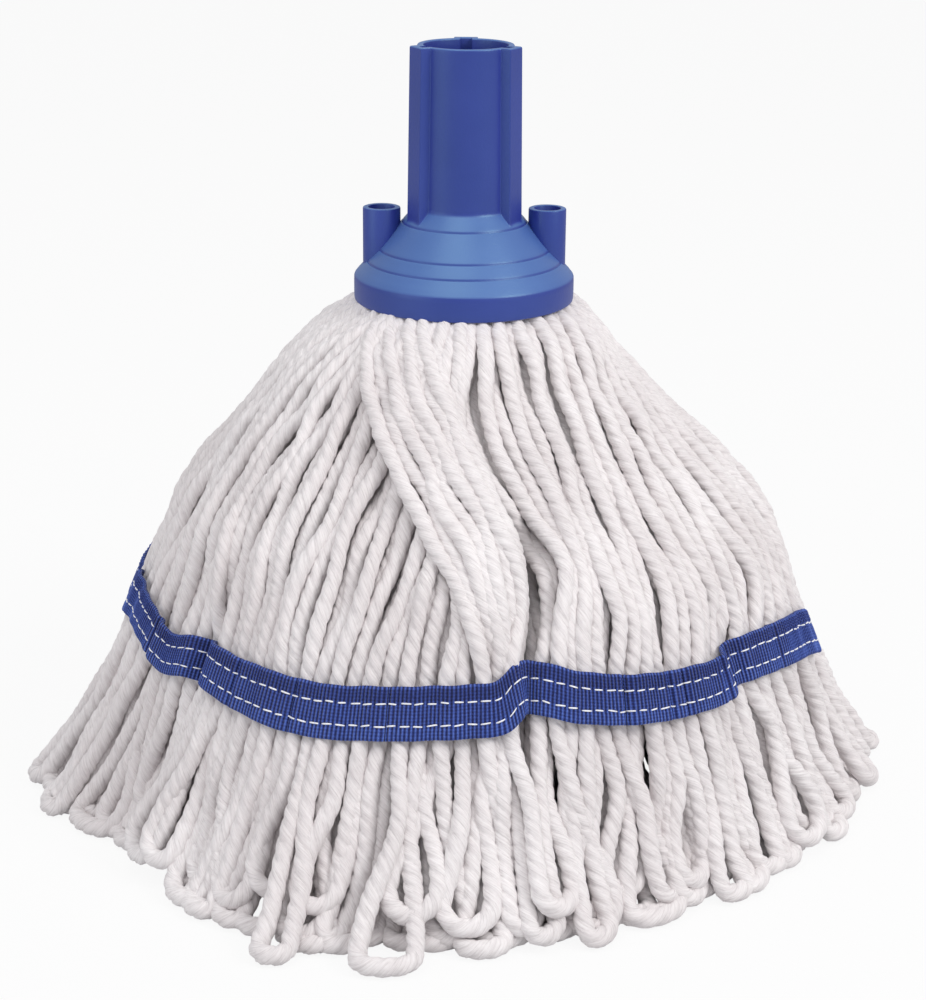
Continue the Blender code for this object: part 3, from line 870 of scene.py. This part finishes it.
def make_inner_yarn():
    nodes = np.linspace(0.0, 1.0, 22)
    angles = np.linspace(0.0, np.pi, 7)[1:-1]
    for k in range(INNER_BUNDLES):
        first = 90.0 + 30.0 * k
        azimuths = first + 30.0 * (np.arange(INNER_LEGS_PER_BUNDLE) + 0.5) / INNER_LEGS_PER_BUNDLE
        paths = []
        for a, b in ((0, 2), (1, 3), (4, 6), (5, 7)):
            end_run = inner_layer.runs[-1] - rng.uniform(8.0, 18.0)
            half_width = rng.uniform(4.5, 7.5)
            layer = (a % 2) * 3.4
            middle = azimuths[[a, b]].mean() + rng.uniform(-1.5, 1.5)
            legs = []
            for side, index in ((-1, a), (1, b)):
                runs = end_run * nodes
                target = middle + side * math.degrees(half_width / INNER_LOOP_RADIUS)
                ease = np.clip((runs - 60.0) / (end_run - 60.0), 0, 1) ** 1.4
                wobble = wander(1, runs[None], 50.0, 0.8)[0]
                radius = np.interp(runs, inner_layer.runs, inner_layer.radii)
                azimuth = azimuths[index] + (target - azimuths[index]) * ease + np.degrees(wobble / radius)
                depth = STRAND_RADIUS + layer + wander(1, runs[None], 40.0, 0.5)[0]
                legs.append((azimuth, runs, depth))
            (az_a, run_a, depth_a), (az_b, run_b, depth_b) = legs
            turn_az = (az_a[-1] + az_b[-1]) / 2 - (az_b[-1] - az_a[-1]) / 2 * np.cos(angles)
            turn_run = end_run + half_width * np.sin(angles)
            turn_depth = depth_a[-1] + (depth_b[-1] - depth_a[-1]) * (1 - np.cos(angles)) / 2
            points = inner_layer.place(
                np.concatenate([az_a, turn_az, az_b[::-1]]),
                np.concatenate([run_a, turn_run, run_b[::-1]]),
                np.concatenate([depth_a, turn_depth, depth_b[::-1]]),
            )
            points[:, 2] = rest_on_floor(points[:, 2], STRAND_RADIUS)
            paths.append(smooth_points(points, 8))
        centres, steps = resample(paths, INNER_RINGS)
        name = f"inner_yarn_loops_{k + 1}"
        piece = twisted_tubes(name, centres, steps, INNER_SIDES, INNER_STRAND_RADIUS, PLY_PITCH)
        finish_piece(piece, COTTON, [f"inner_yarn_{k + 1}"])
        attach(piece, "head")


def make_folded_yarn():
    """The folds gripped under the cone: short bights side by side, their ends to the outside."""
    low_z, high_z = FOLD_LEVELS
    middle = (low_z + high_z) / 2
    angles = np.linspace(-np.pi / 2, np.pi / 2, 9)
    bend_r = FOLD_BEND_RADIUS + FOLD_BEND_REACH * (1 - np.cos(angles))
    bend_z = middle + (high_z - low_z) / 2 * np.sin(angles)
    inward, outward = np.linspace(*FOLD_RADII[::-1], 4), np.linspace(*FOLD_RADII, 4)
    radii = np.concatenate([inward, bend_r, outward])
    heights = np.concatenate([np.full(4, low_z), bend_z, np.full(4, high_z)])
    for half in ("front", "rear"):
        first = FIRST_AZIMUTH[half] + FOLD_MARGIN_DEG
        last = first + 180.0 - 2 * FOLD_MARGIN_DEG
        paths = []
        for azimuth in np.linspace(first, last, FOLD_COUNT):
            angle = math.radians(azimuth)
            points = np.stack([radii * math.sin(angle), -radii * math.cos(angle), heights], axis=-1)
            paths.append(smooth_points(points, 4))
        centres, steps = resample(paths, FOLD_RINGS)
        name = f"{half}_folded_strands"
        piece = twisted_tubes(name, centres, steps, FOLD_SIDES, FOLD_STRAND_RADIUS, PLY_PITCH)
        finish_piece(piece, COTTON, [f"{half}_folded_yarn"])
        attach(piece, "head")


# ---------------------------------------------------------------- tapes and stitches

class TapeCourse:
    """The middle line of a tape on a turned surface, with its width and outward directions."""

    def __init__(self, surface, azimuths, runs, depth, widths):
        dense = np.arange(azimuths[0], azimuths[-1], 0.02)
        centre = surface.place(dense, np.interp(dense, azimuths, runs), np.interp(dense, azimuths, depth))
        lengths = np.linalg.norm(np.diff(centre, axis=0), axis=1)
        self.along = np.concatenate([[0.0], np.cumsum(lengths)])
        self.centre = centre
        self.widths = np.interp(dense, azimuths, widths)
        run = np.interp(dense, azimuths, runs)
        down = surface.place(dense, run + 2.0, 0.0) - surface.place(dense, run - 2.0, 0.0)
        level = np.gradient(surface.place(dense, run, 0.0), axis=0)
        level /= np.linalg.norm(level, axis=1)[:, None]
        across = -down + SQUARING * (down * level).sum(1)[:, None] * level
        self.up = across / np.linalg.norm(across, axis=1)[:, None]
        out = np.cross(np.gradient(centre, axis=0), self.up)
        self.out = out / np.linalg.norm(out, axis=1)[:, None]
        radial = centre * np.array([1.0, 1.0, 0.0])
        if (self.out * radial).sum() < 0:
            self.out = -self.out

    def cut_size(self):
        """Width and length of the strip laid flat, in metres."""
        return self.widths.mean() * MM, self.along[-1] * MM

    def read(self, field, along):
        return np.stack([np.interp(along, self.along, field[:, k]) for k in range(3)], axis=-1)

    def at(self, along, share, height):
        """Points at a distance along the tape, a share of its width from its lower edge, and a height
        above its middle layer."""
        centre, up, out = (self.read(field, along) for field in (self.centre, self.up, self.out))
        across = (np.asarray(share) - 0.5) * np.interp(along, self.along, self.widths)
        return centre + up * across[..., None] + out * np.asarray(height)[..., None]


def tape_course(half, inward):
    azimuth, height = np.array(TAPE_MIDDLE).T
    low, high = TAPE_SPANS[half]
    span = (azimuth >= FIRST_AZIMUTH[half]) & (azimuth <= FIRST_AZIMUTH[half] + 180.0)
    curve = smooth_points(np.stack([azimuth[span], height[span]], axis=-1), 24)
    azimuths = np.arange(low, high, 0.05)
    heights = np.interp(azimuths, curve[:, 0], curve[:, 1])
    runs = skirt.run_at(heights)
    depth = swell(azimuths, runs, 0.0) - TAPE_THICKNESS * 0.75
    depth += 0.3 * np.sin(np.radians(azimuths) * 37.0) + 0.25 * np.sin(np.radians(azimuths) * 61.0 + 1.0)
    for centre, width, tuck in TUCKED_ENDS:
        depth += tuck * bell(wrap(azimuths - centre), 0.0, width)
    if inward:
        depth = depth * 0.5 + 2 * STRAND_RADIUS + 3.2
    widths = TAPE_WIDTH * np.interp(azimuths, *zip(*TAPE_SPREAD))
    return TapeCourse(skirt, azimuths, runs, depth, widths)


TAPE_SHARES = (
    0.0, 0.03, 0.08, 0.14, 0.2, 0.235, 0.27, 0.305, 0.34, 0.42, 0.5, 0.57, 0.64, 0.68, 0.72, 0.755, 0.79,
    0.825, 0.86, 0.895, 0.93, 0.965, 1.0,
)
COARSE_BAND = (0.74, 0.94)


def make_tape(name, course, nodes, body, seam_pull):
    """A ribbed strip: closed section, ribs across it and a slight hollow along each seam."""
    step = RIB_PITCH / 4
    along = np.arange(0.3, course.along[-1] - 0.3, step)
    shares = np.array(TAPE_SHARES)
    edge_round = np.clip(np.minimum(shares, 1 - shares) / 0.05, 0.0, 1.0) ** 0.5
    seams = sum(bell(shares, share, 0.035) for share in STITCH_SHARES.values())
    half = TAPE_THICKNESS / 2 * (0.35 + 0.65 * edge_round)
    rib = RIB_HEIGHT * np.cos(2 * np.pi * along / RIB_PITCH)
    coarse = (shares > COARSE_BAND[0]) & (shares < COARSE_BAND[1])
    twill = np.where(np.arange(len(shares)) % 2, 1.0, -1.0) * coarse * 0.15
    twill = twill[None, :] * np.cos(np.pi * along / RIB_PITCH)[:, None]
    ruffle = 0.22 * np.sin(along / 2.3) * np.sin(along / 7.9)
    outer = half[None, :] + rib[:, None] * edge_round[None, :] + twill - seam_pull * seams[None, :]
    grid_along = np.broadcast_to(along[:, None], outer.shape)
    grid_share = np.broadcast_to(shares[None, :], outer.shape)
    wavy = grid_share + (ruffle[:, None] / TAPE_WIDTH) * np.where(grid_share > 0.5, 1.0, 0.6)
    top = course.at(grid_along, wavy, outer)
    bottom = course.at(grid_along, wavy, np.broadcast_to(-half[None, :], outer.shape))
    ring = np.concatenate([top, bottom[:, ::-1]], axis=1)
    rows, sides = ring.shape[:2]
    index = np.arange(rows * sides).reshape(rows, sides)
    quads = wall_quads(index, flipped=True)
    caps = np.stack([index[0], index[-1, ::-1]])
    ring_share = np.concatenate([shares, shares[::-1]]) * TAPE_WIDTH
    u = np.broadcast_to(along[:, None], index.shape)
    v = np.broadcast_to(ring_share[None, :], index.shape)
    corners = np.stack([
        np.stack([u[:-1], v[:-1]], -1), np.stack([u[1:], v[1:]], -1),
        np.stack([u[1:], np.roll(v[1:], -1, 1)], -1), np.stack([u[:-1], np.roll(v[:-1], -1, 1)], -1),
    ], axis=2).reshape(-1, 2)
    piece = mesh_object(name, ring.reshape(-1, 3), [quads, caps], [corners, np.zeros((caps.size, 2))])
    clean_mesh(piece)
    finish_piece(piece, WEBBING, nodes)
    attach(piece, body)
    return piece


def make_stitches(name, courses, share, nodes, body):
    """Running stitches: short threads that dip into the tape at both ends, on its outer side."""
    rings, sides = 9, 8
    verts = []
    faces = []
    caps = []
    turn = 2 * np.pi * np.arange(sides) / sides
    for course, sign in courses:
        starts = np.arange(2.0, course.along[-1] - STITCH_LENGTH - 1.0, STITCH_SPACING)
        for start in starts:
            length = STITCH_LENGTH * rng.uniform(0.88, 1.12)
            t = np.linspace(0.0, 1.0, rings)
            along = start + t * length
            drift = rng.uniform(-0.012, 0.012) + (t - 0.5) * rng.uniform(-0.03, 0.03)
            bow = np.sin(np.pi * t) ** 0.5
            height = sign * (TAPE_THICKNESS / 2 - 0.55 + 0.62 * bow)
            radius = STITCH_RADIUS * (0.55 + 0.45 * bow)
            points = []
            for angle in turn:
                across = share + drift + radius * math.cos(angle) / TAPE_WIDTH
                points.append(course.at(along, across, height + sign * radius * math.sin(angle) * 0.8))
            base = len(verts) * rings * sides
            verts.append(np.stack(points, axis=1).reshape(-1, 3))
            index = base + np.arange(rings * sides).reshape(rings, sides)
            faces.append(wall_quads(index, flipped=True))
            caps.append(np.stack([index[0], index[-1, ::-1]]))
    piece = mesh_object(name, np.concatenate(verts), faces + caps)
    clean_mesh(piece)
    finish_piece(piece, THREAD, nodes)
    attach(piece, body)
    return piece


def make_tapes():
    for half in ("front", "rear"):
        body = f"{half}_skirt"
        outer = tape_course(half, inward=False)
        inner = tape_course(half, inward=True)
        outer_tape = make_tape(f"{half}_outer_webbing", outer, [f"{half}_outer_tape"], body, 0.25)
        inner_tape = make_tape(f"{half}_inner_webbing", inner, [f"{half}_inner_tape"], body, 0.0)
        for row, share in STITCH_SHARES.items():
            courses = [(outer, 1.0), (inner, -1.0)]
            stands_for = [f"{half}_{row}_stitching"]
            make_stitches(f"{half}_{row}_stitches", courses, share, stands_for, body)
        outer.cut_size()
        inner.cut_size()
        azimuths = np.arange(FIRST_AZIMUTH[half] + 0.8, FIRST_AZIMUTH[half] + 179.2, 0.05)
        runs = INNER_TAPE_RUN + 2.0 * np.sin(np.radians(azimuths) * 5.0)
        depth = -0.9 + 0.5 * np.sin(np.radians(azimuths) * 23.0)
        layer_tape = TapeCourse(inner_layer, azimuths, runs, depth, np.full(len(azimuths), INNER_TAPE_WIDTH))
        stands_for = [f"{half}_inner_layer_tape"]
        layer_piece = make_tape(f"{half}_inner_layer_webbing", layer_tape, stands_for, "head", 0.0)


# ---------------------------------------------------------------- socket

def soft_min(a, b, softness):
    return -softness * np.logaddexp(-a / softness, -b / softness)


def soft_max(a, b, softness):
    return softness * np.logaddexp(a / softness, b / softness)


def ribbed_radius(azimuth, tube, reach, half_width, softness):
    """Radius of a tube with bars on it, at each azimuth."""
    radius = np.full(azimuth.shape, float(tube))
    for centre in RIB_AZIMUTHS:
        offset = np.radians(np.abs(wrap(azimuth - centre)))
        face = reach / np.maximum(np.cos(offset), 0.2)
        side = half_width / np.maximum(np.sin(offset), 1e-3)
        bar = soft_min(face, side, softness)
        bar = np.where(offset > math.radians(60), 0.0, bar)
        radius = soft_max(radius, bar, softness * 0.45)
    return radius


def cone_height(radius):
    slope = (CONE_TOP - SHOULDER_HEIGHT) / (SHOULDER_RADIUS - CONE_TOP_RADIUS)
    return CONE_TOP - slope * (radius - CONE_TOP_RADIUS)


def make_socket_body():
    azimuth = np.arange(SOCKET_COLUMNS) * 360.0 / SOCKET_COLUMNS
    outside = ribbed_radius(azimuth, TUBE_RADIUS, RIB_REACH, RIB_HALF_WIDTH, 0.45)
    groove = ribbed_radius(azimuth, BORE_RADIUS, GROOVE_REACH, GROOVE_HALF_WIDTH, 0.25)
    even = np.ones(azimuth.shape)
    rings = []

    def ring(radius, height):
        rings.append((radius * even, height * even))

    ring(0.0, BORE_FLOOR)
    ring(BORE_RADIUS - 1.0, BORE_FLOOR)
    ring(BORE_RADIUS - 0.3, BORE_FLOOR + 0.1)
    ring(BORE_RADIUS, BORE_FLOOR + 0.5)
    for height in np.linspace(BORE_FLOOR + 3, BORE_STEP - 0.1, 6):
        ring(BORE_RADIUS, height)
    ring(BORE_RADIUS + (groove - BORE_RADIUS) * 0.95, BORE_STEP)
    for height in np.linspace(BORE_STEP + 0.6, TUBE_TOP - LIP_RADIUS, 16):
        ring(groove, height)
    for share in (0.35, 0.7, 1.0):
        turn = share * math.pi / 2
        ring(groove + LIP_RADIUS * (1 - math.cos(turn)), TUBE_TOP - LIP_RADIUS + LIP_RADIUS * math.sin(turn))
    for share in (0.0, 0.35, 0.7, 1.0):
        turn = share * math.pi / 2
        ring(outside - LIP_RADIUS * (1 - math.sin(turn)), TUBE_TOP - LIP_RADIUS + LIP_RADIUS * math.cos(turn))

    draft = TUBE_DRAFT / (TUBE_TOP - CONE_TOP)
    slope = math.atan((CONE_TOP - SHOULDER_HEIGHT) / (SHOULDER_RADIUS - CONE_TOP_RADIUS))
    # The fillet's arc touches the tube's wall and the cone, whose angle from level is slope
    reach = FILLET_RADIUS * math.tan((math.pi / 2 - slope) / 2)
    foot = outside + TUBE_DRAFT
    wall_end = cone_height(foot) + reach
    for share in np.linspace(0.02, 1.0, 24):
        height = TUBE_TOP - LIP_RADIUS + (wall_end - TUBE_TOP + LIP_RADIUS) * share
        ring(outside + draft * (TUBE_TOP - height), height)
    for share in np.linspace(0.12, 1.0, 8):
        turn = (math.pi / 2 - slope) * share
        centre_r = foot + FILLET_RADIUS
        radius = centre_r - FILLET_RADIUS * math.cos(turn)
        height = wall_end - FILLET_RADIUS * math.sin(turn)
        ring(radius, height)
    begin = rings[-1][0].copy()
    line_start = RING_RADII[0] - 0.8
    for share in (0.5, 1.0):
        radius = begin + (np.maximum(line_start, begin + 0.2) - begin) * share
        ring(radius, cone_height(radius))
    near = np.array([-0.45, -0.3, -0.2, -0.1, 0.0, 0.1, 0.2, 0.3, 0.45])
    fine = np.concatenate([line + near for line in RING_RADII])
    for radius in np.unique(np.concatenate([fine, np.arange(line_start + 1.5, 35.9, 0.9)])):
        shown = np.maximum(radius, rings[-1][0] + 0.02)
        ring(shown, cone_height(shown))
    shoulder = [(36.3, cone_height(36.25)), (36.9, 179.9), (37.3, 179.45), (37.5, 178.9), (37.55, 177.5)]
    shoulder += [(37.55, 174.0), (37.5, 171.9), (37.35, 171.3), (36.9, RIM_BOTTOM)]
    for radius, height in shoulder:
        ring(radius, height)
    inside = RIM_RADIUS - RIM_WALL
    ring(inside + 0.5, RIM_BOTTOM)
    ring(inside, RIM_BOTTOM + 0.4)
    inside_low = cone_height(inside) - CONE_WALL
    for height in np.linspace(RIM_BOTTOM + 1.5, inside_low, 3):
        ring(inside, height)
    for share in np.linspace(0.15, 1.0, 6):
        radius = inside + (BOSS_RADIUS - inside) * share
        ring(radius, cone_height(radius) - CONE_WALL)
    for height in np.linspace(cone_height(BOSS_RADIUS) - CONE_WALL - 3, BOSS_BOTTOM + 0.4, 4):
        ring(BOSS_RADIUS, height)
    ring(BOSS_RADIUS - 0.4, BOSS_BOTTOM)
    ring(4.0, BOSS_BOTTOM)
    ring(0.0, BOSS_BOTTOM)

    angle = np.radians(azimuth)
    verts = []
    for radius, height in rings:
        lines = sum(bell(radius, line, RING_HALF_WIDTH) for line in RING_RADII)
        height = height - RING_DEPTH * lines * on_cone(radius, height)
        verts.append(np.stack([radius * np.sin(angle), -radius * np.cos(angle), height], axis=-1))
    index = np.arange(len(rings) * SOCKET_COLUMNS).reshape(len(rings), SOCKET_COLUMNS)
    body = mesh_object("moulded_socket", np.concatenate(verts), [wall_quads(index)])
    clean_mesh(body, weld=True)
    return body


def on_cone(radius, height):
    """1 on the cone's outer face, 0 elsewhere."""
    return (np.abs(height - cone_height(radius)) < 0.5).astype(float)


def revolved(name, centre_x, profile, steps=72):
    """A solid turned about an upright axis: its profile runs from axis to axis, or is closed."""
    angle = 2 * np.pi * (np.arange(steps) + 0.37) / steps
    verts = [
        np.stack([centre_x + r * np.cos(angle), r * np.sin(angle), np.full(steps, z)], axis=-1)
        for r, z in profile
    ]
    index = np.arange(len(profile) * steps).reshape(len(profile), steps)
    made = mesh_object(name, np.concatenate(verts), [wall_quads(index)])
    clean_mesh(made, weld=True)
    return made


def combine(body, operation, tools):
    for tool in tools:
        change = body.modifiers.new(operation.lower(), "BOOLEAN")
        change.operation = operation
        change.solver = "EXACT"
        change.object = tool
        bpy.context.view_layer.update()
        graph = bpy.context.evaluated_depsgraph_get()
        result = bpy.data.meshes.new_from_object(body.evaluated_get(graph))
        body.modifiers.remove(change)
        body.data = result
        bpy.data.objects.remove(tool, do_unlink=True)


def make_socket():
    """The body with its posts: a hole wider than a post's bore is cut, and the tubular post fills it."""
    body = make_socket_body()
    post = [
        (POST_HOLE_RADIUS, POST_BOTTOM), (POST_RADIUS, POST_BOTTOM), (POST_RADIUS, POST_TOP - 0.5),
        (POST_RADIUS - 0.15, POST_TOP - 0.15), (POST_RADIUS - 0.5, POST_TOP),
        (POST_HOLE_RADIUS + 0.4, POST_TOP), (POST_HOLE_RADIUS + 0.12, POST_TOP - 0.1),
        (POST_HOLE_RADIUS, POST_TOP - 0.35),
        (POST_HOLE_RADIUS, POST_BOTTOM),
    ]
    middle = (POST_RADIUS + POST_HOLE_RADIUS) / 2
    cut = [(0.0, RIM_BOTTOM - 10), (middle, RIM_BOTTOM - 10), (middle, POST_TOP + 5), (0.0, POST_TOP + 5)]
    centres = (-POST_OFFSET, POST_OFFSET)
    combine(body, "DIFFERENCE", [revolved("cut", centre, cut) for centre in centres])
    combine(body, "UNION", [revolved("post", centre, post) for centre in centres])
    body.data.materials.clear()
    body.data.shade_smooth()
    body.data.set_sharp_from_angle(angle=math.radians(32))
    finish_piece(body, PLASTIC, ["socket", "left_post", "right_post"])
    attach(body, "head")


# ---------------------------------------------------------------- camera, floor and light

def make_camera():
    data = bpy.data.cameras.new("camera")
    data.lens = CAMERA_LENS
    data.sensor_width = SENSOR_WIDTH
    data.clip_start = 0.01
    data.clip_end = 50.0
    data.shift_x, data.shift_y = CAMERA_SHIFT
    camera = bpy.data.objects.new("camera", data)
    bpy.context.scene.collection.objects.link(camera)
    place = Matrix.Translation((0.0, -CAMERA_DISTANCE, CAMERA_HEIGHT))
    tilt = Matrix.Rotation(math.radians(90.0 - CAMERA_PITCH_DEG), 4, "X")
    roll = Matrix.Rotation(math.radians(CAMERA_ROLL_DEG), 4, "Z")
    camera.matrix_world = place @ tilt @ roll
    bpy.context.scene.camera = camera


def add_light(name, location, size, power, colour):
    data = bpy.data.lights.new(name, "AREA")
    data.shape = "DISK"
    data.size = size
    data.energy = power
    data.color = colour
    light = bpy.data.objects.new(name, data)
    light.location = location
    light.rotation_euler = (Vector(LIGHT_TARGET) - Vector(location)).to_track_quat("-Z", "Y").to_euler()
    bpy.context.scene.collection.objects.link(light)


def seen_and_lighting(nodes, links, seen, lighting):
    """A shader that the camera sees as one thing and the other rays as another."""
    path = nodes.new("ShaderNodeLightPath")
    mix = nodes.new("ShaderNodeMixShader")
    links.new(path.outputs["Is Camera Ray"], mix.inputs["Fac"])
    links.new(lighting, mix.inputs[1])
    links.new(seen, mix.inputs[2])
    return mix.outputs["Shader"]


def floor_material():
    """Pale studio floor: lit from within for the camera, so that it stays near white far away."""
    material, nodes, links, shader = shader_material("studio_floor", (0.68, 0.68, 0.685), 1.0)
    shader.inputs["Specular IOR Level"].default_value = 0.0
    dim = add_node(nodes, "ShaderNodeBsdfDiffuse", Color=(0.06, 0.06, 0.06, 1.0))
    glow = add_node(nodes, "ShaderNodeEmission", Color=(1.0, 1.0, 1.0, 1.0), Strength=FLOOR_GLOW)
    both = nodes.new("ShaderNodeAddShader")
    links.new(dim.outputs["BSDF"], both.inputs[0])
    links.new(glow.outputs["Emission"], both.inputs[1])
    seen = seen_and_lighting(nodes, links, both.outputs["Shader"], shader.outputs["BSDF"])
    links.new(seen, nodes["Material Output"].inputs["Surface"])
    return material


def make_stage():
    bpy.ops.mesh.primitive_plane_add(size=16.0, location=(0.0, 0.0, -0.0002))
    floor = bpy.context.object
    floor.name = "studio_floor"
    floor.data.materials.append(floor_material())
    world = bpy.data.worlds.new("studio")
    world.use_nodes = True
    nodes = world.node_tree.nodes
    links = world.node_tree.links
    lighting = nodes["Background"]
    lighting.inputs["Color"].default_value = (0.97, 0.975, 1.0, 1.0)
    lighting.inputs["Strength"].default_value = WORLD_LIGHT
    backdrop = add_node(nodes, "ShaderNodeBackground", Color=(0.97, 0.97, 0.97, 1.0), Strength=1.0)
    seen = seen_and_lighting(nodes, links, backdrop.outputs["Background"], lighting.outputs["Background"])
    links.new(seen, nodes["World Output"].inputs["Surface"])
    bpy.context.scene.world = world
    for light in LIGHTS:
        add_light(*light)
    bpy.context.scene.view_settings.view_transform = "Standard"


make_camera()
make_socket()
make_outer_yarn()
make_inner_yarn()
make_folded_yarn()
make_tapes()
for node in ("clamp_plate", "left_clamp_pin", "right_clamp_pin"):
    plastic_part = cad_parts[node]
    plastic_part.data.materials.clear()
    plastic_part.data.materials.append(PLASTIC)
make_stage()
